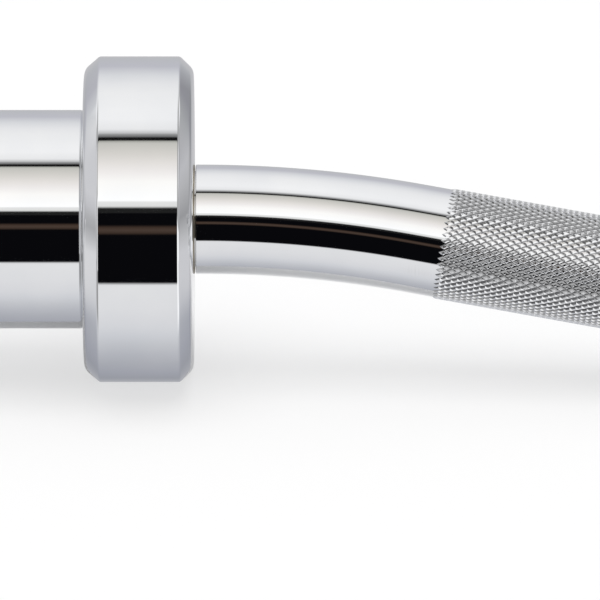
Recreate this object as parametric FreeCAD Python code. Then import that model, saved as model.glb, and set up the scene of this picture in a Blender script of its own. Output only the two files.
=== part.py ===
import FreeCAD, Part
import math
import os

from FreeCAD import Vector

# An EZ curl bar: a bent and knurled steel shaft with a turning plate sleeve on each end.
# Lengths are in millimetres and angles in degrees. X runs along the bar, Z is up, and the bar lies
# as it rests on the floor, on both collars and on the two valleys of its wave. The origin is on the
# floor under the middle of the sleeves' common axis. Most pieces are made at the right-hand end and
# mirrored to the left.

# Whole bar
overall_length = 1200.0
loadable_length = 165.0

# Shaft
shaft_diameter = 25.0
knurl_diameter = 25.5
inner_journal_diameter = 22.0
journal_diameter = 19.0
journal_chamfer = 1.0
journal_tip = 5.0

# Wave of the shaft, from the collar to the middle of the bar
neck_straight = 1.2
neck_radius = 270.0
outer_angle = 10.6
outer_run = 125.0
valley_radius = 90.0
inner_angle = 19.0
centre_radius = 90.0
centre_flat = 90.0
knurl_from_neck = 5.9
knurl_to_centre_bend = 6.0

# Collar
collar_diameter = 74.5
collar_width = 25.0
collar_web = 6.0
collar_chamfer = 3.0
collar_inner_bevel = 3.1
collar_outer_bevel = 3.5
collar_crown_round = 1.0
collar_face_round = 3.0

# Sleeve tube
sleeve_diameter = 50.0
spigot_step = 1.0
sleeve_bore = 32.0
flange_bore = 40.0
sleeve_end_chamfer = 1.5
sleeve_relief = 0.5
sleeve_round = 1.0

# Bushes
inner_bush_length = 30.0
bush_nose_wall = 1.4
bush_nose_proud = 0.3
outer_bush_length = 26.0
bush_flange = 4.0

# Washers, springs and circlips on the journal
inner_washer_diameter = 30.0
outer_washer_diameter = 36.0
washer_thickness = 2.0
spring_diameter = 34.0
spring_thickness = 1.2
spring_height = 2.0
journal_clip_thickness = 1.2
journal_clip_groove = 0.5
journal_clip_band = 3.4

# End disc and its circlip
end_disc_thickness = 5.0
end_disc_ledge = 1.0
end_disc_dish = 14.0
end_disc_dish_depth = 0.8
end_disc_chamfer = 0.6
end_lip = 2.0
end_clip_thickness = 1.75
end_clip_groove = 1.25
end_clip_band = 3.6
journal_gap = 6.0

# Circlip lugs
clip_lug_radius = 2.2
clip_hole_radius = 0.9
clip_gap = 3.0

# Fits: a press fit is modelled with a hair of room, and a running fit with room for oil
press_clearance = 0.01
running_clearance = 0.05
nose_clearance = 0.2
washer_clearance = 0.2
end_clearance = 0.1
clip_clearance = 0.1

# Overrun of cutting tools past the faces that they cut
overrun = 1.0

# Derived radii
shaft_radius = shaft_diameter / 2
knurl_radius = knurl_diameter / 2
inner_journal_radius = inner_journal_diameter / 2
journal_radius = journal_diameter / 2
collar_radius = collar_diameter / 2
sleeve_radius = sleeve_diameter / 2
spigot_radius = sleeve_radius - spigot_step
sleeve_bore_radius = sleeve_bore / 2
flange_bore_radius = flange_bore / 2
end_bore_radius = flange_bore_radius + end_disc_ledge
inner_bush_bore = inner_journal_radius + running_clearance
nose_radius = inner_bush_bore + bush_nose_wall
outer_bush_bore = journal_radius + running_clearance
washer_bore = journal_radius + washer_clearance
clip_groove_radius = journal_radius - journal_clip_groove
end_groove_radius = end_bore_radius + end_clip_groove

# Derived stations, measured outwards from a collar's inner face
collar_face = overall_length / 2 - loadable_length - collar_width
sleeve_end = collar_width + loadable_length
inner_bush_end = collar_web + inner_bush_length
neck_shoulder = -(bush_nose_proud + nose_clearance)
end_clip_outer = sleeve_end - end_lip
end_disc_outer = end_clip_outer - end_clip_thickness - clip_clearance
end_disc_inner = end_disc_outer - end_disc_thickness
journal_end = end_disc_inner - journal_gap
journal_clip_outer = journal_end - journal_tip
journal_clip_inner = journal_clip_outer - journal_clip_thickness
spring_inner = journal_clip_inner - spring_height
outer_washer_inner = spring_inner - washer_thickness
flange_outer = outer_washer_inner - end_clearance
flange_inner = flange_outer - bush_flange
outer_bush_inner = flange_inner - outer_bush_length
shoulder = outer_bush_inner - end_clearance - washer_thickness

# Derived wave: the inner run takes up what the other runs and bends leave of the half length
outer_turn = math.radians(outer_angle)
inner_turn = math.radians(inner_angle)
bends_reach = (neck_radius * math.sin(outer_turn)
               + valley_radius * (math.sin(outer_turn) + math.sin(inner_turn))
               + centre_radius * math.sin(inner_turn))
straights_reach = neck_straight + outer_run * math.cos(outer_turn) + centre_flat / 2
inner_run = (collar_face - bends_reach - straights_reach) / math.cos(inner_turn)
valley_depth = ((neck_radius + valley_radius) * (1 - math.cos(outer_turn))
                + outer_run * math.sin(outer_turn))

# Derived rest: the bar rolls until its valleys meet the floor, or hangs straight where they can't
axis_height = collar_radius
valley_drop_share = min(1, (collar_radius - knurl_radius) / valley_depth)
rest_tilt = math.degrees(math.asin(valley_drop_share))

ALONG = Vector(1, 0, 0)
ACROSS = Vector(0, 1, 0)
ORIGIN = Vector(0, 0, 0)


def turned(profile):
    """A solid of revolution about X from (station, radius) corners at the right-hand end."""
    points = [Vector(collar_face + station, 0, radius) for station, radius in profile]
    face = Part.Face(Part.makePolygon(points + points[:1]))
    return face.revolve(ORIGIN, ALONG, 360)


def ring(start, end, inner, outer):
    """A plain ring between two stations."""
    return turned([(start, inner), (end, inner), (end, outer), (start, outer)])


def rounded(solid, edge_radius, size):
    """The solid with its circular edges of one radius rounded."""
    edges = [edge for edge in solid.Edges if isinstance(edge.Curve, Part.Circle)
             and math.isclose(edge.Curve.Radius, edge_radius, abs_tol=press_clearance)]
    return solid.makeFillet(size, edges)


def straight_bar(start, heading, length, radius):
    """A straight stretch of the shaft, with the point and heading where it ends."""
    solid = Part.makeCylinder(radius, length, start, heading)
    return solid, start + heading * length, heading


def bent_bar(start, heading, bend_radius, angle, radius):
    """A bend of the shaft in the XZ plane; a positive angle turns the heading from +X to -Z."""
    side = math.copysign(1, angle)
    pivot = start + ACROSS.cross(heading) * (bend_radius * side)
    section = Part.Face(Part.Wire(Part.makeCircle(radius, start, heading)))
    solid = section.revolve(pivot, ACROSS * side, abs(angle))
    turn = FreeCAD.Rotation(ACROSS, angle)
    end = pivot + turn.multVec(start - pivot)
    return solid, end, turn.multVec(heading)


def wave_half():
    """The solids of the shaft from its shoulder at the right-hand collar to the middle of the bar."""
    point = Vector(collar_face + neck_shoulder, 0, 0)
    heading = ALONG * -1
    inner_knurl = inner_run - knurl_to_centre_bend
    runs = [
        ("straight", neck_straight + neck_shoulder, shaft_radius),
        ("bend", neck_radius, -outer_angle, shaft_radius),
        ("straight", knurl_from_neck, shaft_radius),
        ("straight", outer_run - knurl_from_neck, knurl_radius),
        ("bend", valley_radius, outer_angle + inner_angle, knurl_radius),
        ("straight", inner_knurl, knurl_radius),
        ("straight", knurl_to_centre_bend, shaft_radius),
        ("bend", centre_radius, -inner_angle, shaft_radius),
        ("straight", centre_flat / 2, shaft_radius),
    ]
    solids = []
    for kind, *sizes in runs:
        make = straight_bar if kind == "straight" else bent_bar
        solid, point, heading = make(point, heading, *sizes)
        solids.append(solid)
    return solids


def shaft_end():
    """The straight end of the shaft in a sleeve: two journals, a shoulder and a circlip groove."""
    groove_inner = journal_clip_inner - clip_clearance
    return turned([
        (neck_shoulder, 0), (neck_shoulder, inner_journal_radius),
        (shoulder, inner_journal_radius), (shoulder, journal_radius),
        (groove_inner, journal_radius), (groove_inner, clip_groove_radius),
        (journal_clip_outer, clip_groove_radius), (journal_clip_outer, journal_radius),
        (journal_end - journal_chamfer, journal_radius),
        (journal_end, journal_radius - journal_chamfer), (journal_end, 0),
    ])


def shaft():
    """The whole bent bar, turned about the sleeves' axis until its valleys meet the floor."""
    half = wave_half() + [shaft_end()]
    other = [mirrored(solid) for solid in half]
    bar = half[0].multiFuse(half[1:] + other).removeSplitter()
    bar.rotate(ORIGIN, ALONG, rest_tilt - 90)
    return bar.Solids[0]


def collar():
    """The ring with bevelled and rounded edges, and a web that closes in round the bush's nose."""
    hole = nose_radius + press_clearance
    seat = spigot_radius + press_clearance
    face_radius = collar_radius - collar_chamfer
    body = turned([
        (0, hole), (0, face_radius), (collar_inner_bevel, collar_radius),
        (collar_width - collar_outer_bevel, collar_radius), (collar_width, face_radius),
        (collar_width, seat), (collar_web, seat), (collar_web, hole),
    ])
    crowned = rounded(body, collar_radius, collar_crown_round)
    return rounded(crowned, face_radius, collar_face_round)


def sleeve_tube():
    """The plate sleeve: a spigot and a relieved edge at the collar, stepped bores for the bush's
    flange and the end disc, and a rounded chamfer at the open end."""
    groove_inner = end_disc_outer
    body = turned([
        (collar_web, sleeve_bore_radius), (flange_inner, sleeve_bore_radius),
        (flange_inner, flange_bore_radius), (end_disc_inner, flange_bore_radius),
        (end_disc_inner, end_bore_radius), (groove_inner, end_bore_radius),
        (groove_inner, end_groove_radius), (end_clip_outer, end_groove_radius),
        (end_clip_outer, end_bore_radius), (sleeve_end, end_bore_radius),
        (sleeve_end, sleeve_radius - sleeve_end_chamfer),
        (sleeve_end - sleeve_end_chamfer, sleeve_radius),
        (collar_width + sleeve_relief, sleeve_radius), (collar_width, sleeve_radius - sleeve_relief),
        (collar_width, spigot_radius), (collar_web, spigot_radius),
    ])
    return rounded(body, sleeve_radius, sleeve_round)


def inner_bush():
    """The bronze bush at the collar, with a thin nose through the collar's web."""
    body_radius = sleeve_bore_radius - press_clearance
    return turned([
        (-bush_nose_proud, inner_bush_bore), (inner_bush_end, inner_bush_bore),
        (inner_bush_end, body_radius), (collar_web, body_radius),
        (collar_web, nose_radius), (-bush_nose_proud, nose_radius),
    ])


def outer_bush():
    """The bronze bush on the journal, with its flange on the tube's step."""
    body_radius = sleeve_bore_radius - press_clearance
    flange_radius = flange_bore_radius - press_clearance
    return turned([
        (outer_bush_inner, outer_bush_bore), (flange_outer, outer_bush_bore),
        (flange_outer, flange_radius), (flange_inner, flange_radius),
        (flange_inner, body_radius), (outer_bush_inner, body_radius),
    ])


def disc_spring():
    """A coned spring washer, its rim on the thrust washer and its inner edge at the circlip."""
    rim = spring_diameter / 2
    rise = spring_height - spring_thickness
    return turned([
        (spring_inner + rise, washer_bore), (journal_clip_inner, washer_bore),
        (spring_inner + spring_thickness, rim), (spring_inner, rim),
    ])


def end_disc():
    """The plain disc that closes the sleeve, with a shallow dish in its outer face."""
    rim = end_bore_radius - press_clearance
    floor = end_disc_outer - end_disc_dish_depth
    return turned([
        (end_disc_inner, 0), (floor, 0), (floor, end_disc_dish), (end_disc_outer, end_disc_dish),
        (end_disc_outer, rim - end_disc_chamfer), (end_disc_outer - end_disc_chamfer, rim),
        (end_disc_inner, rim),
    ])


def circlip(start, thickness, inner, outer, lug_circle):
    """A spring ring that is open at the top, with two holed lugs beside the opening."""
    clip = ring(start, start + thickness, inner, outer)
    lean = math.asin((clip_gap / 2 + clip_lug_radius) / lug_circle)
    base = collar_face + start
    sides = [Vector(base, side * math.sin(lean) * lug_circle, math.cos(lean) * lug_circle)
             for side in (-1, 1)]
    for centre in sides:
        clip = clip.fuse(Part.makeCylinder(clip_lug_radius, thickness, centre, ALONG))
    reach = outer + 2 * clip_lug_radius
    long_cut = thickness + 2 * overrun
    corner = Vector(base - overrun, -clip_gap / 2, 0)
    clip = clip.cut(Part.makeBox(long_cut, clip_gap, reach, corner))
    for centre in sides:
        hole_start = centre - ALONG * overrun
        clip = clip.cut(Part.makeCylinder(clip_hole_radius, long_cut, hole_start, ALONG))
    return clip.removeSplitter().Solids[0]


def journal_circlip():
    """The outside circlip in the journal's groove."""
    inner = clip_groove_radius + press_clearance
    outer = inner + journal_clip_band
    return circlip(journal_clip_inner, journal_clip_thickness, inner, outer, outer)


def end_circlip():
    """The inside circlip that keeps the end disc in the tube."""
    outer = end_groove_radius - press_clearance
    inner = outer - end_clip_band
    start = end_clip_outer - end_clip_thickness
    return circlip(start, end_clip_thickness, inner, outer, inner)


def thrust_washer(start, diameter):
    """A flat steel thrust washer."""
    return ring(start, start + washer_thickness, washer_bore, diameter / 2)


def mirrored(solid):
    """The solid's twin at the other end of the bar."""
    return solid.mirror(ORIGIN, ALONG)


def save(name, solid):
    """Lifts a piece from the X axis to the sleeves' height and writes it."""
    placed = solid.copy()
    placed.translate(Vector(0, 0, axis_height))
    placed.exportStep("parts/" + name + ".step")


os.makedirs("parts", exist_ok=True)

save("shaft", shaft())
paired = {
    "collar": collar(),
    "sleeve_tube": sleeve_tube(),
    "inner_bush": inner_bush(),
    "outer_bush": outer_bush(),
    "inner_thrust_washer": thrust_washer(shoulder, inner_washer_diameter),
    "outer_thrust_washer": thrust_washer(outer_washer_inner, outer_washer_diameter),
    "disc_spring": disc_spring(),
    "journal_circlip": journal_circlip(),
    "end_disc": end_disc(),
    "end_circlip": end_circlip(),
}
for name, solid in paired.items():
    save("right_" + name, solid)
    save("left_" + name, mirrored(solid))

print("inner run", round(inner_run, 3), "valley depth", round(valley_depth, 3))
print("rest tilt", round(rest_tilt, 3), "shoulder station", round(shoulder, 3))
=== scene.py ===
import math

import bpy
import numpy as np
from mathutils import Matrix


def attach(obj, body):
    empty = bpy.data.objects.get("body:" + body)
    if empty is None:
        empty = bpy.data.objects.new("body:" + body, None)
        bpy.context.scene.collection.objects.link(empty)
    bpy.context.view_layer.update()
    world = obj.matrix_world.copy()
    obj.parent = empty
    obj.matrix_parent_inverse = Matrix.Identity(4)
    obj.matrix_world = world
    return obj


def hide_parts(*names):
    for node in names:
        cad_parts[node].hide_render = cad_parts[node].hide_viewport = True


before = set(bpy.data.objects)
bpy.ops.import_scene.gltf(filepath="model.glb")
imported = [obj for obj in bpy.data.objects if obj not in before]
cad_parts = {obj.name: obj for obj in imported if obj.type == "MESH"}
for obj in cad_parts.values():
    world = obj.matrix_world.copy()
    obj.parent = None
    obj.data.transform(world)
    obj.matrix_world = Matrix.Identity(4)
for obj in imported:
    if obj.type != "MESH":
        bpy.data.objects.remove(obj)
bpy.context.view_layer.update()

# Sizes of the bar in metres and radians; the bar lies along X and rests on the floor at z = 0.
# COLLAR_FACE is how far the inner face of a collar is from the middle, and the stations of a journal,
# a collar and a sleeve are counted from that face outwards
MM = 0.001
COLLAR_FACE = 410 * MM
JOURNAL_END = 175.15 * MM
SHOULDER = 132.75 * MM
CLIP_INNER = 168.85 * MM
CLIP_OUTER = 170.15 * MM
JOURNAL_CHAMFER = 1 * MM
NECK_SHOULDER = 0.5 * MM
NECK_EDGE = 0.15 * MM
SHAFT_RADIUS = 12.5 * MM
KNURL_RADIUS = 12.75 * MM
INNER_JOURNAL_RADIUS = 11 * MM
JOURNAL_RADIUS = 9.5 * MM
CLIP_GROOVE_RADIUS = 9 * MM
COLLAR_RADIUS = 37.25 * MM
COLLAR_WIDTH = 25 * MM
COLLAR_CHAMFER = 3 * MM
COLLAR_INNER_BEVEL = 3.1 * MM
COLLAR_OUTER_BEVEL = 3.5 * MM
COLLAR_CROWN_ROUND = 1 * MM
COLLAR_FACE_ROUND = 3 * MM
COLLAR_WEB = 6 * MM
COLLAR_HOLE = 12.46 * MM
SPIGOT_RADIUS = 24 * MM
SLEEVE_RADIUS = 25 * MM
SLEEVE_END = 190 * MM
SLEEVE_CHAMFER = 1.5 * MM
SLEEVE_RELIEF = 0.5 * MM
SLEEVE_ROUND = 1 * MM
SLEEVE_RIM_ROUND = 0.4 * MM
SLEEVE_MOUTH_ROUND = 0.3 * MM
SLEEVE_BORE = 16 * MM
FLANGE_BORE = 20 * MM
DISC_BORE = 21 * MM
DISC_GROOVE = 22.25 * MM
FLANGE_STEP = 160.85 * MM
DISC_STEP = 181.15 * MM
DISC_GROOVE_INNER = 186.15 * MM
DISC_GROOVE_OUTER = 188 * MM
NECK_STRAIGHT = 1.2 * MM
NECK_RADIUS = 270 * MM
OUTER_TURN = math.radians(10.6)
OUTER_RUN = 125 * MM
VALLEY_RADIUS = 90 * MM
INNER_TURN = math.radians(19)
INNER_RUN = 122.799 * MM
CENTRE_RADIUS = 90 * MM
CENTRE_FLAT = 90 * MM
KNURL_FROM_NECK = 5.9 * MM
KNURL_TO_CENTRE_BEND = 6 * MM
KNURL_OVERLAP = 2 * MM
VALLEY_DEPTH = ((NECK_RADIUS + VALLEY_RADIUS) * (1 - math.cos(OUTER_TURN))
                + OUTER_RUN * math.sin(OUTER_TURN))
REST_TILT = math.asin((COLLAR_RADIUS - KNURL_RADIUS) / VALLEY_DEPTH)

# Knurl: starts round the bar, half the pitch along it, the share of the pitch that a groove's half
# takes and its depth, for both sets of grooves, and how much lower a diamond's corners are than its
# middle
KNURL_STARTS = 56
KNURL_HALF_PITCH = 1.318 * MM
GROOVE_SHARE_A = 0.34
GROOVE_SHARE_B = 0.26
GROOVE_DEPTH_A = 0.34 * MM
GROOVE_DEPTH_B = 0.25 * MM
DIAMOND_CROWN = 0.004 * MM

# Fineness of the meshes: facets round a piece, steps along a bend and in a rounded corner, and the
# angle in degrees from which an edge is sharp
COLLAR_FACETS = 256
SLEEVE_FACETS = 192
SHAFT_FACETS = 160
NECK_STEPS = 60
CENTRE_BEND_STEPS = 40
ROUND_STEPS = 6
SHARP_ANGLE = 25
KNURL_SHARP_ANGLE = 20

# Centreline of the shaft: the length and curvature of each run from the left journal to the right
HALF_RUNS = [
    (JOURNAL_END + NECK_STRAIGHT, 0),
    (NECK_RADIUS * OUTER_TURN, -1 / NECK_RADIUS),
    (OUTER_RUN, 0),
    (VALLEY_RADIUS * (OUTER_TURN + INNER_TURN), 1 / VALLEY_RADIUS),
    (INNER_RUN, 0),
    (CENTRE_RADIUS * INNER_TURN, -1 / CENTRE_RADIUS),
    (CENTRE_FLAT / 2, 0),
]
RUN_LENGTHS, RUN_BENDS = np.array(HALF_RUNS + HALF_RUNS[::-1]).T
RUN_STARTS = np.concatenate([[0], np.cumsum(RUN_LENGTHS)])
RUN_HEADINGS = np.concatenate([[0], np.cumsum(RUN_LENGTHS * RUN_BENDS)])


def run_chord(run, along):
    """Step from a run's start to a point on it: the arc length times sinc of half the turn, in the
    direction of the heading half-way."""
    turn = RUN_BENDS[run] * along
    chord = along * np.sinc(turn / (2 * np.pi))
    middle = RUN_HEADINGS[run] + turn / 2
    return chord * np.cos(middle), chord * np.sin(middle), RUN_HEADINGS[run] + turn


RUNS = np.arange(len(RUN_LENGTHS))
STEP_X, STEP_RISE, _ = run_chord(RUNS, RUN_LENGTHS)
RUN_X = np.concatenate([[0], np.cumsum(STEP_X)]) - COLLAR_FACE - JOURNAL_END
RUN_RISE = np.concatenate([[0], np.cumsum(STEP_RISE)])
BAR_LENGTH = RUN_STARTS[-1]
NECK_START, NECK_END = RUN_STARTS[1:3]
CENTRE_BEND_START, CENTRE_BEND_END = RUN_STARTS[5:7]
KNURL_START = NECK_END + KNURL_FROM_NECK
KNURL_END = CENTRE_BEND_START - KNURL_TO_CENTRE_BEND


def bar_points(along, angle, radius):
    """Points of the bar at an arc length, an angle round it and a radius: the centreline point plus
    the radius times cosine along the wave's normal and sine square to the wave's plane. The plane
    leans over by the rest tilt."""
    along = np.asarray(along, float)
    run = np.clip(np.searchsorted(RUN_STARTS, along, side="right") - 1, 0, len(RUNS) - 1)
    dx, drise, heading = run_chord(run, along - RUN_STARTS[run])
    normal, square = radius * np.cos(angle), radius * np.sin(angle)
    rise = RUN_RISE[run] + drise + normal * np.cos(heading)
    return np.stack([
        RUN_X[run] + dx - normal * np.sin(heading),
        rise * math.cos(REST_TILT) - square * math.sin(REST_TILT),
        COLLAR_RADIUS + rise * math.sin(REST_TILT) + square * math.cos(REST_TILT),
    ], axis=-1)


def add_piece(name, points, faces, body, material, nodes, sharp=SHARP_ANGLE):
    """A mesh object from a point array and index arrays of equal-sided faces, with smooth shading
    that breaks at edges steeper than the sharp angle."""
    mesh = bpy.data.meshes.new(name)
    mesh.vertices.add(len(points))
    mesh.vertices.foreach_set("co", np.ascontiguousarray(points, np.float32).ravel())
    corners = np.concatenate([group.ravel() for group in faces]).astype(np.int32)
    counts = np.concatenate([np.full(len(group), group.shape[1]) for group in faces])
    mesh.loops.add(len(corners))
    mesh.loops.foreach_set("vertex_index", corners)
    mesh.polygons.add(len(counts))
    mesh.polygons.foreach_set("loop_start", (np.cumsum(counts) - counts).astype(np.int32))
    mesh.update(calc_edges=True)
    mesh.validate()
    mesh.shade_smooth()
    mesh.set_sharp_from_angle(angle=math.radians(sharp))
    mesh.materials.append(material)
    piece = bpy.data.objects.new(name, mesh)
    bpy.context.scene.collection.objects.link(piece)
    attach(piece, body)
    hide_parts(*nodes)
    return piece


def grid_quads(rows, columns, loop_rows=False):
    """Quads of a grid that closes on itself across its columns, and down its rows if asked."""
    row = np.arange(rows if loop_rows else rows - 1)[:, None]
    column = np.arange(columns)[None, :]
    below, beside = (row + 1) % rows, (column + 1) % columns
    quads = [row * columns + column, row * columns + beside,
             below * columns + beside, below * columns + column]
    return np.stack(np.broadcast_arrays(*quads), axis=-1).reshape(-1, 4)


def end_fan(loop, centre, turn):
    """Triangles from a closed loop of points to a centre, wound one way or the other."""
    after = np.roll(loop, -1)
    pair = (loop, after) if turn > 0 else (after, loop)
    return np.stack([np.full(len(loop), centre), *pair], axis=-1)


def arc_corners(corners, rounds):
    """An outline whose corners are rounded: each corner becomes an arc that is tangent to both its
    sides, at the round over the tangent of half the corner's angle from it."""
    corners = np.array(corners, float)
    outline = []
    for index, size in enumerate(rounds):
        here = corners[index]
        if size == 0:
            outline.append(here[None])
            continue
        back = corners[index - 1] - here
        ahead = corners[(index + 1) % len(corners)] - here
        back, ahead = back / np.linalg.norm(back), ahead / np.linalg.norm(ahead)
        half = math.acos(np.clip(back @ ahead, -1, 1)) / 2
        inward = (back + ahead) / np.linalg.norm(back + ahead)
        centre = here + inward * size / math.sin(half)
        first = here + back * size / math.tan(half) - centre
        last = here + ahead * size / math.tan(half) - centre
        sweep = math.pi - 2 * half
        share = np.linspace(0, 1, ROUND_STEPS + 1)[:, None]
        outline.append(centre + (np.sin((1 - share) * sweep) * first + np.sin(share * sweep) * last)
                       / math.sin(sweep))
    return np.concatenate(outline)


def turned_piece(name, side, outline, facets, body, material, node):
    """A ring turned about the sleeves' axis: each (station, radius) point of a closed outline goes
    round as x = station, y and z = radius times sine and cosine. Side -1 is the left end."""
    angle = np.linspace(0, 2 * np.pi, facets, endpoint=False)[None, :]
    station, radius = outline[:, :1], outline[:, 1:]
    points = np.stack(np.broadcast_arrays(
        side * (COLLAR_FACE + station), radius * np.sin(angle),
        COLLAR_RADIUS + radius * np.cos(angle)), axis=-1).reshape(-1, 3)
    quads = grid_quads(len(outline), facets, loop_rows=True)
    area = np.sum(outline[:, 0] * np.roll(outline[:, 1], -1)
                  - np.roll(outline[:, 0], -1) * outline[:, 1])
    if side * area > 0:
        quads = quads[:, ::-1]
    add_piece(name, points, [quads], body, material, [node])


def shaft_stretch(name, stations, radii, material):
    """A smooth stretch of the shaft: a circle of the given radius at each arc length along the
    centreline, closed by a disc at both ends."""
    angle = np.linspace(0, 2 * np.pi, SHAFT_FACETS, endpoint=False)[None, :]
    stations, radii = np.array(stations)[:, None], np.array(radii)[:, None]
    rings = bar_points(*np.broadcast_arrays(stations, angle, radii)).reshape(-1, 3)
    ends = bar_points(stations[[0, -1], 0], np.zeros(2), np.zeros(2))
    rows = len(stations)
    first = np.arange(SHAFT_FACETS)
    last = first + (rows - 1) * SHAFT_FACETS
    faces = [grid_quads(rows, SHAFT_FACETS), end_fan(first, len(rings), -1),
             end_fan(last, len(rings) + 1, 1)]
    add_piece(name, np.concatenate([rings, ends]), faces, "bar", material, ["shaft"])


def knurl_stretch(name, start, first_ring, last_ring, material):
    """Diamond knurling on the shaft. Two sets of helical grooves cross: set A climbs one half pitch
    per half start and set B falls the same, so the angle is pi (A + B) / starts and the arc length
    goes by A - B. Lines lie at whole numbers of A and B, where a groove's floor is, at the groove
    share either side of them, where its walls meet the top of a diamond, and half-way, along the
    top's crown, which falls away by the squares of the distances from it. The stretch takes whole
    diamonds, so that its ends are zigzags, each closed by a fan to the centreline."""
    share_a, share_b = [np.array([0, share, 0.5, 1 - share])
                        for share in (GROOVE_SHARE_A, GROOVE_SHARE_B)]
    lines = len(share_a)
    around = lines * KNURL_STARTS
    low, high = lines * first_ring, lines * (last_ring + 1)
    width = high - low + 1
    line_a = np.arange(around)[:, None]
    line_b = line_a - np.arange(low, high + 1)[None, :]
    turn_a = line_a // lines + share_a[line_a % lines]
    turn_b = line_b // lines + share_b[line_b % lines]
    floor = np.where(line_a % lines == 0, GROOVE_DEPTH_A,
                     np.where(line_b % lines == 0, GROOVE_DEPTH_B, 0))
    fall = (((turn_a % 1 - 0.5) / (0.5 - GROOVE_SHARE_A)) ** 2
            + ((turn_b % 1 - 0.5) / (0.5 - GROOVE_SHARE_B)) ** 2) / 2
    radius = KNURL_RADIUS - np.where(floor > 0, floor, DIAMOND_CROWN * fall)
    along = start + KNURL_HALF_PITCH * (turn_a - turn_b)
    angle = np.pi * (turn_a + turn_b) / KNURL_STARTS
    points = bar_points(along, angle, radius).reshape(-1, 3)

    def at(a, gap):
        return (a % around) * width + gap - low

    a, gap = np.meshgrid(np.arange(around), np.arange(low + 1, high), indexing="ij")
    b = a - gap
    ring = a // lines - 1 - b // lines
    keep = (ring >= first_ring) & (ring < last_ring)
    a, gap, b = a[keep], gap[keep], b[keep]
    square = [at(a, gap), at(a, gap - 1), at(a + 1, gap), at(a + 1, gap + 1)]
    crossed = np.abs(a % lines - b % lines) == lines - 1
    one = np.stack([square[0], square[1], np.where(crossed, square[3], square[2])], axis=-1)
    two = np.stack([np.where(crossed, square[1], square[0]), square[2], square[3]], axis=-1)

    tooth = lines * np.arange(KNURL_STARTS)[:, None]
    up, still = np.arange(lines + 1), np.zeros(lines + 1, int)
    open_end = at(tooth + np.append(still, up[1:-1]), low + np.append(up[::-1], up[1:-1])).ravel()
    far = lines * last_ring
    close_end = at(tooth + np.append(up, still[1:-1] + lines),
                   far + np.append(up, up[-2:0:-1])).ravel()
    reach = start + KNURL_HALF_PITCH * np.array([first_ring + 1, last_ring])
    points = np.concatenate([points, bar_points(reach, np.zeros(2), np.zeros(2))])
    count = around * width
    triangles = np.concatenate([one, two, end_fan(open_end, count, -1),
                                end_fan(close_end, count + 1, 1)])
    used, triangles = np.unique(triangles, return_inverse=True)
    triangles = triangles.reshape(-1, 3)
    piece = add_piece(name, points[used], [triangles], "bar", material, ["shaft"],
                      KNURL_SHARP_ANGLE)
    for label, values in (("groove", np.append(floor.ravel() > 0, [True, True])),
                          ("along", np.append(along.ravel(), reach))):
        attribute = piece.data.attributes.new(label, "FLOAT", "POINT")
        attribute.data.foreach_set("value", values[used].astype(np.float32))


class Nodes:
    """A short hand for a node tree: each call adds a node, sets its values and links its inputs."""

    def __init__(self, tree):
        self.tree = tree
        tree.nodes.clear()

    def add(self, kind, inputs=(), **settings):
        node = self.tree.nodes.new(kind)
        for key, value in settings.items():
            setattr(node, key, value)
        for key, value in dict(inputs).items():
            if isinstance(value, bpy.types.NodeSocket):
                self.tree.links.new(value, node.inputs[key])
            else:
                node.inputs[key].default_value = value
        return node

    def math(self, operation, *values, clamp=False):
        return self.add("ShaderNodeMath", enumerate(values), operation=operation,
                        use_clamp=clamp).outputs[0]

    def span(self, value, low, high, first=0.0, last=1.0):
        """Carries a value from low and high over to first and last, and stops there."""
        return self.add("ShaderNodeMapRange", {
            "Value": value, "From Min": low, "From Max": high, "To Min": first,
            "To Max": last}).outputs[0]

    def mix(self, share, one, other):
        """Goes from one colour to the other by a share."""
        return self.add("ShaderNodeMix", {0: share, 6: one, 7: other}, data_type="RGBA").outputs[2]

    def ramp(self, value, stops):
        """Colours by a value: each stop is a value and its colour, from the lowest up."""
        low, high = stops[0][0], stops[-1][0]
        node = self.add("ShaderNodeValToRGB", {0: self.span(value, low, high)})
        band = node.color_ramp
        while len(band.elements) < len(stops):
            band.elements.new(1)
        for element, (place, colour) in zip(band.elements, stops):
            element.position = (place - low) / (high - low)
            element.color = (*colour, 1)
        return node.outputs[0]


def metal(name, colour, roughness, build):
    """A metal finish: a plain metallic shader, and a function that gives what varies over the piece
    for some of the shader's sockets."""
    material = bpy.data.materials.new(name)
    material.use_nodes = True
    nodes = Nodes(material.node_tree)
    shader = nodes.add("ShaderNodeBsdfPrincipled", {
        "Base Color": (*colour, 1), "Metallic": 1.0, "Roughness": roughness})
    nodes.add("ShaderNodeOutputMaterial", {"Surface": shader.outputs[0]})
    for key, value in build(nodes).items():
        nodes.tree.links.new(value, shader.inputs[key])
    return material


def object_place(nodes, stretch=(1, 1, 1)):
    """Object coordinates, stretched along the axes."""
    coordinate = nodes.add("ShaderNodeTexCoord").outputs["Object"]
    return nodes.add("ShaderNodeMapping", {"Vector": coordinate, "Scale": stretch}).outputs[0]


def noise(nodes, scale, stretch=(1, 1, 1), detail=3.0):
    """Fractal noise in object space at a scale in cycles per metre."""
    return nodes.add("ShaderNodeTexNoise", {
        "Vector": object_place(nodes, stretch), "Scale": scale, "Detail": detail}).outputs["Fac"]


def relief(nodes, height, strength, distance=0.1 * MM):
    """A bumped normal from a height of up to a distance."""
    return nodes.add("ShaderNodeBump", {
        "Height": height, "Strength": strength, "Distance": distance}).outputs[0]


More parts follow.
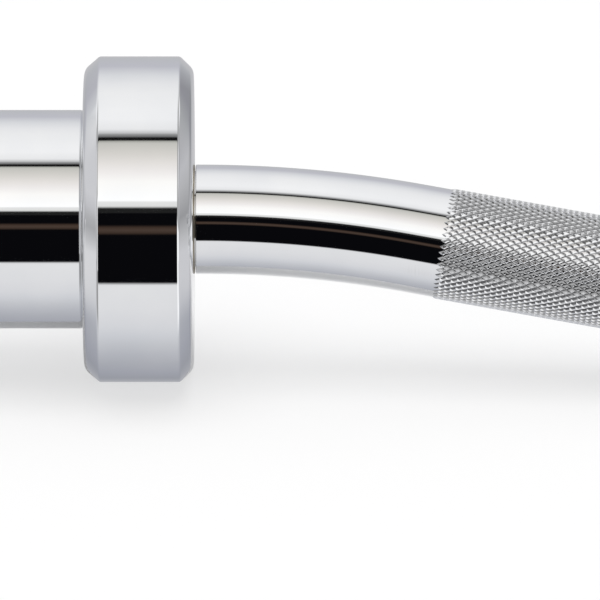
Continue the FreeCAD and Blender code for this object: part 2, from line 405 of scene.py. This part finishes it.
def bright_chrome(nodes):
    """Mirror plating: faint clouding of the polish and fine turning lines round the bar."""
    cloud = noise(nodes, scale=60.0)
    lines = noise(nodes, scale=2600.0, stretch=(1, 0.02, 0.02), detail=2.0)
    return {
        "Roughness": nodes.span(cloud, 0.3, 0.7, 0.022, 0.05),
        "Normal": relief(nodes, lines, strength=0.02),
        "Base Color": nodes.ramp(cloud, [(0.3, (0.78, 0.79, 0.81)), (0.7, (0.83, 0.835, 0.845))]),
    }


def knurled_chrome(nodes):
    """Plating over knurling: bright on the diamonds' tops, with fine lines across the bar, and duller
    in the grooves, where the colour is darkened towards the floor as painted shade."""
    groove = nodes.add("ShaderNodeAttribute", attribute_name="groove").outputs["Fac"]
    grain = noise(nodes, scale=900.0)
    depth = nodes.math("MULTIPLY", groove, nodes.math("ADD", grain, 0.5), clamp=True)
    along = nodes.add("ShaderNodeAttribute", attribute_name="along").outputs["Fac"]
    lines = nodes.add("ShaderNodeTexNoise", {"W": along, "Scale": 7000.0, "Detail": 1.0},
                      noise_dimensions="1D").outputs["Fac"]
    on_top = nodes.span(groove, 0.0, 0.15, 1.0, 0.0)
    return {
        # Painted shade: the colour darkens into the grooves, by the groove mask mixed with random
        # grain
        "Base Color": nodes.ramp(depth, [(0.0, (0.82, 0.825, 0.835)), (0.5, (0.78, 0.785, 0.795)),
                                         (1.0, (0.34, 0.34, 0.35))]),
        "Roughness": nodes.span(depth, 0.0, 1.0, 0.06, 0.14),
        "Normal": relief(nodes, lines, strength=on_top, distance=0.024 * MM),
    }


def bronze(nodes):
    """Oiled bearing bronze: warm, with darker stains and fine turning lines."""
    stain = noise(nodes, scale=220.0)
    lines = noise(nodes, scale=3000.0, stretch=(1, 0.05, 0.05))
    return {
        "Base Color": nodes.ramp(stain, [(0.3, (0.26, 0.235, 0.19)), (0.7, (0.4, 0.36, 0.29))]),
        "Normal": relief(nodes, lines, strength=0.15),
    }


def turned_face(nodes):
    """A faced disc: rings of tool marks by the distance from the sleeves' axis."""
    place = nodes.add("ShaderNodeSeparateXYZ", {0: object_place(nodes)}).outputs
    height = nodes.math("SUBTRACT", place["Z"], COLLAR_RADIUS)
    reach = nodes.math("SQRT", nodes.math("ADD", nodes.math("MULTIPLY", place["Y"], place["Y"]),
                                          nodes.math("MULTIPLY", height, height)))
    rings = nodes.math("SINE", nodes.math("MULTIPLY", reach, 9000.0))
    return {
        "Normal": relief(nodes, rings, strength=0.08),
        "Roughness": nodes.span(noise(nodes, scale=150.0), 0.0, 1.0, 0.14, 0.26),
    }


def dull_steel(nodes):
    """Ground or blackened steel: a mottled finish with uneven gloss."""
    return {"Roughness": nodes.span(noise(nodes, scale=400.0), 0.0, 1.0, 0.25, 0.5)}


BRIGHT = metal("bright_chrome", (0.8, 0.81, 0.83), 0.03, bright_chrome)
KNURL = metal("knurled_chrome", (0.8, 0.81, 0.83), 0.1, knurled_chrome)
BRONZE = metal("oiled_bronze", (0.62, 0.42, 0.22), 0.35, bronze)
DISC = metal("faced_end_chrome", (0.75, 0.76, 0.78), 0.2, turned_face)
GROUND = metal("ground_steel", (0.6, 0.6, 0.61), 0.35, dull_steel)
SPRING = metal("black_spring_steel", (0.1, 0.1, 0.11), 0.4, dull_steel)


def build_shaft():
    """The shaft's smooth ends and middle, and its knurled grips between them."""
    neck = np.linspace(NECK_START, NECK_END, NECK_STEPS)
    clip_outer, clip_inner = JOURNAL_END - CLIP_OUTER, JOURNAL_END - CLIP_INNER
    step = JOURNAL_END - SHOULDER
    shoulder = JOURNAL_END + NECK_SHOULDER
    journal = np.array([
        (0, JOURNAL_RADIUS - JOURNAL_CHAMFER), (JOURNAL_CHAMFER, JOURNAL_RADIUS),
        (clip_outer, JOURNAL_RADIUS), (clip_outer, CLIP_GROOVE_RADIUS),
        (clip_inner, CLIP_GROOVE_RADIUS), (clip_inner, JOURNAL_RADIUS),
        (step, JOURNAL_RADIUS), (step, INNER_JOURNAL_RADIUS),
        (shoulder, INNER_JOURNAL_RADIUS), (shoulder, SHAFT_RADIUS - NECK_EDGE),
        (shoulder + NECK_EDGE, SHAFT_RADIUS),
    ])
    stations = np.concatenate([journal[:, 0], neck, [KNURL_START + KNURL_OVERLAP]])
    radii = np.concatenate([journal[:, 1], np.full(len(neck) + 1, SHAFT_RADIUS)])
    shaft_stretch("shaft_left_neck", stations, radii, BRIGHT)
    shaft_stretch("shaft_right_neck", BAR_LENGTH - stations[::-1], radii[::-1], BRIGHT)
    bend = np.linspace(CENTRE_BEND_START, CENTRE_BEND_END, CENTRE_BEND_STEPS)
    half = np.append(KNURL_END - KNURL_OVERLAP, bend)
    middle = np.append(half, BAR_LENGTH - half[::-1])
    shaft_stretch("shaft_centre", middle, np.full(len(middle), SHAFT_RADIUS), BRIGHT)
    grips = ["outer", "valley", "inner"]
    knurl_rings = int(round((KNURL_END - KNURL_START) / KNURL_HALF_PITCH)) - 1
    cuts = np.linspace(0, knurl_rings, len(grips) + 1).astype(int)
    for side, start, parts in [("left", KNURL_START, grips),
                               ("right", BAR_LENGTH - KNURL_END, grips[::-1])]:
        for part, first, last in zip(parts, cuts[:-1], cuts[1:]):
            knurl_stretch(f"knurl_{side}_{part}", start, first, last, KNURL)


def build_end(name, side):
    """A collar and a sleeve tube of one end, and the finishes of the pieces inside."""
    body = name + "_sleeve"
    low = COLLAR_RADIUS - COLLAR_CHAMFER
    collar = arc_corners(
        [(0, COLLAR_HOLE), (0, low), (COLLAR_INNER_BEVEL, COLLAR_RADIUS),
         (COLLAR_WIDTH - COLLAR_OUTER_BEVEL, COLLAR_RADIUS), (COLLAR_WIDTH, low),
         (COLLAR_WIDTH, SPIGOT_RADIUS), (COLLAR_WEB, SPIGOT_RADIUS), (COLLAR_WEB, COLLAR_HOLE)],
        [0, COLLAR_FACE_ROUND, COLLAR_CROWN_ROUND, COLLAR_CROWN_ROUND, COLLAR_FACE_ROUND, 0, 0, 0])
    turned_piece(name + "_collar_dressed", side, collar, COLLAR_FACETS, body,
                 BRIGHT, name + "_collar")
    tube = arc_corners(
        [(COLLAR_WEB, SLEEVE_BORE), (FLANGE_STEP, SLEEVE_BORE), (FLANGE_STEP, FLANGE_BORE),
         (DISC_STEP, FLANGE_BORE), (DISC_STEP, DISC_BORE), (DISC_GROOVE_INNER, DISC_BORE),
         (DISC_GROOVE_INNER, DISC_GROOVE), (DISC_GROOVE_OUTER, DISC_GROOVE),
         (DISC_GROOVE_OUTER, DISC_BORE), (SLEEVE_END, DISC_BORE),
         (SLEEVE_END, SLEEVE_RADIUS - SLEEVE_CHAMFER), (SLEEVE_END - SLEEVE_CHAMFER, SLEEVE_RADIUS),
         (COLLAR_WIDTH + SLEEVE_RELIEF, SLEEVE_RADIUS), (COLLAR_WIDTH, SLEEVE_RADIUS - SLEEVE_RELIEF),
         (COLLAR_WIDTH, SPIGOT_RADIUS), (COLLAR_WEB, SPIGOT_RADIUS)],
        [0] * 9 + [SLEEVE_MOUTH_ROUND, SLEEVE_RIM_ROUND, SLEEVE_ROUND, SLEEVE_ROUND] + [0] * 3)
    turned_piece(name + "_sleeve_dressed", side, tube, SLEEVE_FACETS, body,
                 BRIGHT, name + "_sleeve_tube")
    finishes = {"inner_bush": BRONZE, "outer_bush": BRONZE, "end_disc": DISC,
                "inner_thrust_washer": GROUND, "outer_thrust_washer": GROUND,
                "disc_spring": SPRING, "journal_circlip": SPRING, "end_circlip": SPRING}
    for piece, finish in finishes.items():
        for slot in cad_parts[name + "_" + piece].material_slots:
            slot.material = finish


def stage_sheet(name, corners, material):
    """A flat four-cornered sheet of the stage."""
    mesh = bpy.data.meshes.new(name)
    mesh.from_pydata(corners, [], [(0, 1, 2, 3)])
    mesh.materials.append(material)
    sheet = bpy.data.objects.new(name, mesh)
    bpy.context.scene.collection.objects.link(sheet)
    return sheet


def pale_floor():
    """A matt white floor; a share of glow lifts it to white and pales its shadow, most of it for
    camera rays and a little in the chrome, where towards the back a painted grey glow stands in for
    the floor."""
    material = bpy.data.materials.new("pale_floor")
    material.use_nodes = True
    nodes = Nodes(material.node_tree)
    path = nodes.add("ShaderNodeLightPath").outputs
    mirrored = nodes.math("MAXIMUM", path["Is Glossy Ray"], path["Is Transmission Ray"])
    glow = nodes.math("MULTIPLY_ADD", mirrored, 0.07,
                      nodes.math("MULTIPLY", path["Is Camera Ray"], 0.55))
    shade = nodes.add("ShaderNodeBsdfDiffuse", {"Color": (0.86, 0.86, 0.86, 1)})
    light = nodes.add("ShaderNodeEmission", {"Strength": 1.05})
    both = nodes.add("ShaderNodeMixShader", {0: glow, 1: shade.outputs[0], 2: light.outputs[0]})
    # Painted shade in the chrome: towards the back the floor shows a flat grey glow instead of its
    # lit white
    place = nodes.add("ShaderNodeTexCoord").outputs["Object"]
    back = nodes.span(nodes.add("ShaderNodeSeparateXYZ", {0: place}).outputs["Y"], 0.06, 0.15)
    dim = nodes.add("ShaderNodeEmission", {"Color": (0.55, 0.55, 0.57, 1)})
    floor = nodes.add("ShaderNodeMixShader", {
        0: nodes.math("MULTIPLY", mirrored, back), 1: both.outputs[0], 2: dim.outputs[0]})
    nodes.add("ShaderNodeOutputMaterial", {"Surface": floor.outputs[0]})
    return material


def grey(tone):
    """A colour of three equal parts."""
    return (tone, tone, tone)


# Tones of the light tent. By the angle up and over from the front, in degrees: the dark opening with
# its brown rail and the panels above it, the rest of the tent, the panels below the front, and the
# share of pale panel in the corners
DARK = (0.003, 0.003, 0.004)
OPENING = [
    (0, DARK), (5.4, DARK), (7, (0.055, 0.036, 0.027)), (8.8, (0.08, 0.054, 0.042)),
    (10.6, (0.06, 0.038, 0.028)), (12.5, DARK), (20.6, DARK), (21.2, grey(0.018)),
    (24.2, grey(0.014)), (25.6, (0.9, 0.9, 0.88)), (28.6, (0.94, 0.94, 0.92)),
    (29.6, (1.24, 1.24, 1.23)), (43, (1.19, 1.17, 1.13)), (50, (1.06, 1.02, 0.99)),
    (56, (0.96, 0.92, 0.876)), (63, (0.82, 0.79, 0.74)), (71.8, (0.66, 0.65, 0.6)),
    (73.5, (0.46, 0.46, 0.42)), (74.2, grey(0.006)), (76.2, grey(0.006)), (77.2, grey(0.2)),
    (79, grey(0.36)), (79.9, grey(0.62)), (81.6, grey(0.8)), (83.2, grey(0.98)), (92, grey(1.06)),
    (100, grey(1.05)), (118, grey(1.0)), (125, (0.96, 0.96, 0.965)),
]
TENT = [
    (-90, grey(0.8)), (0, grey(0.9)), (10, grey(1.05)), (60, (1.0, 0.99, 0.97)), (100, grey(1.05)),
    (118, grey(1.0)), (128, (0.94, 0.94, 0.95)), (140, (0.81, 0.82, 0.84)), (155, (0.6, 0.6, 0.65)),
    (180, (0.54, 0.55, 0.57)),
]
UNDERNEATH = [
    (-180, (0.56, 0.56, 0.58)), (-137, (0.37, 0.38, 0.42)), (-123, (0.42, 0.43, 0.48)),
    (-107, (0.49, 0.5, 0.54)), (-95, (0.56, 0.57, 0.61)), (-84, (0.65, 0.66, 0.69)),
    (-75, (0.74, 0.75, 0.78)), (-66, (0.815, 0.82, 0.84)), (-58, (0.85, 0.85, 0.865)),
    (-50, (0.88, 0.88, 0.89)), (-35, (0.9, 0.9, 0.905)), (-28, (0.89, 0.89, 0.895)),
]
CORNER_PANELS = [
    (32, grey(0)), (46, grey(1)), (74, grey(1)), (86, grey(0)),
    (98, grey(0)), (108, grey(1)), (132, grey(1)), (142, grey(0)),
]

# By how far a direction leans to the right: the walls beside the opening, below, at and above it
WHITE = grey(1.2)
SHADE = (0.15, 0.15, 0.155)
LOW_WALLS = [
    (-0.8, (0.6, 0.6, 0.62)), (-0.74, grey(0.38)), (0.0, grey(0.38)), (0.1, WHITE), (0.66, WHITE),
    (0.74, (0.7, 0.7, 0.72)),
]
LEVEL_WALLS = [
    (-0.95, (0.7, 0.7, 0.72)), (-0.9, grey(1.0)), (-0.77, grey(1.0)), (-0.73, SHADE), (-0.55, SHADE),
    (-0.5, WHITE), (-0.3, WHITE), (-0.27, SHADE), (0.2, SHADE), (0.25, WHITE), (0.82, WHITE),
    (0.9, (0.42, 0.42, 0.44)),
]
HIGH_WALLS = [
    (-0.9, (0.7, 0.7, 0.72)), (-0.8, grey(0.48)), (-0.42, grey(0.48)), (-0.38, grey(0.06)),
    (0.27, grey(0.06)), (0.31, grey(0.48)), (0.8, grey(0.45)), (0.9, (0.42, 0.42, 0.44)),
]

# By the height of a direction: the two sides
LEFT_SIDE = [
    (-0.2, (0.81, 0.81, 0.82)), (-0.1, (0.6, 0.6, 0.61)), (-0.02, (0.47, 0.47, 0.48)),
    (0.05, (0.53, 0.53, 0.54)), (0.12, (0.65, 0.65, 0.67)), (0.2, (0.72, 0.72, 0.74)),
    (0.6, (0.7, 0.7, 0.72)),
]
RIGHT_SIDE = [
    (-0.2, (0.71, 0.71, 0.73)), (-0.1, (0.6, 0.6, 0.61)), (0.04, (0.38, 0.38, 0.39)),
    (0.2, (0.54, 0.54, 0.55)), (0.3, (0.6, 0.6, 0.62)), (0.38, (0.52, 0.52, 0.54)),
    (0.5, (0.42, 0.42, 0.44)), (0.7, (0.39, 0.39, 0.41)),
]


def light_tent():
    """The world is a tent round the bar, by the angle up and over from the front and by how far the
    direction leans to a side: in front a dark opening with a brown rail, above it a cream panel, a
    seam and a white roof that greys towards the back, below it a pale panel that greys downwards,
    dark and white walls beside the opening, pale panels in the four corners, and two sides that
    change with the height. The camera itself sees plain white."""
    world = bpy.data.worlds.new("light_tent")
    bpy.context.scene.world = world
    world.use_nodes = True
    nodes = Nodes(world.node_tree)
    way = nodes.add("ShaderNodeSeparateXYZ",
                    {0: nodes.add("ShaderNodeTexCoord").outputs["Generated"]}).outputs
    over = nodes.math("MULTIPLY", nodes.math(
        "ARCTAN2", way["Z"], nodes.math("MULTIPLY", way["Y"], -1.0)), 180 / math.pi)
    aside = nodes.math("ABSOLUTE", way["X"])
    on_right = nodes.math("GREATER_THAN", way["X"], 0.0)

    low_walls, level_walls, high_walls = [
        nodes.ramp(way["X"], stops) for stops in (LOW_WALLS, LEVEL_WALLS, HIGH_WALLS)]
    slant = nodes.math("MULTIPLY_ADD", way["X"], 22.0, over)
    walls = nodes.mix(nodes.span(over, -23.0, -21.0), low_walls, level_walls)
    walls = nodes.mix(nodes.span(slant, 21.0, 26.0), walls, high_walls)

    side_tone = nodes.math("MULTIPLY_ADD", on_right, -0.33, 0.89)
    lean = nodes.span(aside, 0.24, 0.55, 1.0, side_tone)
    toned = nodes.add("ShaderNodeVectorMath", {0: nodes.ramp(over, TENT), "Scale": lean},
                      operation="SCALE").outputs[0]
    ring = nodes.mix(nodes.span(over, 102.0, 120.0, 1.0, 0.0), toned, walls)
    band = nodes.math("MULTIPLY", nodes.span(aside, 0.57, 0.63),
                      nodes.span(aside, 0.71, 0.76, 1.0, 0.0))
    corner = nodes.math("MULTIPLY", band, nodes.ramp(over, CORNER_PANELS))
    ring = nodes.mix(corner, ring, (1.04, 1.04, 1.05, 1))

    off_middle = nodes.math("ABSOLUTE", nodes.math("ADD", way["X"], 0.05))
    ahead = nodes.math("LESS_THAN", nodes.math("ABSOLUTE", over), OPENING[-1][0])
    inside = nodes.math("MULTIPLY", nodes.span(off_middle, 0.26, 0.31, 1.0, 0.0), ahead)
    ring = nodes.mix(inside, ring, nodes.ramp(over, OPENING))

    apron = nodes.math("MULTIPLY", nodes.span(over, -80.0, -60.0), nodes.span(aside, 0.22, 0.28))
    lower = nodes.mix(apron, nodes.ramp(over, UNDERNEATH), low_walls)
    ring = nodes.mix(nodes.span(over, -31.0, -28.8), lower, ring)

    sides = nodes.mix(on_right, nodes.ramp(way["Z"], LEFT_SIDE), nodes.ramp(way["Z"], RIGHT_SIDE))
    beside = nodes.add("ShaderNodeMapRange", {
        "Value": aside, "From Min": 0.75, "From Max": 0.95}, interpolation_type="SMOOTHSTEP")
    room = nodes.mix(beside.outputs[0], ring, sides)
    camera_ray = nodes.add("ShaderNodeLightPath").outputs["Is Camera Ray"]
    light = nodes.add("ShaderNodeBackground", {
        "Color": nodes.mix(camera_ray, room, (1, 1, 1, 1)), "Strength": 1.0})
    nodes.add("ShaderNodeOutputWorld", {"Surface": light.outputs[0]})


def studio():
    """A wide pale floor in two sheets; the front one isn't seen in the chrome, where the tent's
    opening and its pale lower panel show instead."""
    white = pale_floor()
    reach, edge, low = 60.0, -0.004, -0.0004
    stage_sheet("floor", [(-reach, edge, low), (reach, edge, low), (reach, reach, low),
                          (-reach, reach, low)], white)
    front = stage_sheet("front_floor", [(-reach, -reach, low), (reach, -reach, low),
                                        (reach, edge, low), (-reach, edge, low)], white)
    front.visible_glossy = False
    light_tent()
    data = bpy.data.lights.new("soft_lamp", "SUN")
    data.angle = math.radians(55)
    data.energy = 1.4
    lamp = bpy.data.objects.new("soft_lamp", data)
    lamp.rotation_euler = (math.radians(14), 0, 0)
    lamp.visible_glossy = False
    bpy.context.scene.collection.objects.link(lamp)


def camera():
    """The view of the upper close-up: square to the bar from the front and a little above, with the
    left collar's inner face and the sleeve's axis at their places in the picture."""
    elevation, distance = math.radians(17), 2.5
    picture_width, pixels_per_mm = 600, 4.37
    face_column, axis_row = 193.7, 219.2
    pixel = 1 / pixels_per_mm * MM
    middle = picture_width / 2
    right = np.array([1, 0, 0])
    up = np.array([0, math.sin(elevation), math.cos(elevation)])
    back = np.array([0, -math.cos(elevation), math.sin(elevation)])
    aim = (np.array([-COLLAR_FACE, 0, COLLAR_RADIUS]) + right * (middle - face_column) * pixel
           - up * (middle - axis_row) * pixel)
    data = bpy.data.cameras.new("camera")
    data.sensor_width = 36
    data.lens = data.sensor_width * distance / (picture_width * pixel)
    data.clip_end = 200
    view = bpy.data.objects.new("camera", data)
    view.location = aim + back * distance
    view.rotation_euler = (math.pi / 2 - elevation, 0, 0)
    bpy.context.scene.collection.objects.link(view)
    bpy.context.scene.camera = view


build_shaft()
build_end("left", -1)
build_end("right", 1)
studio()
camera()
bpy.context.scene.view_settings.view_transform = "Standard"
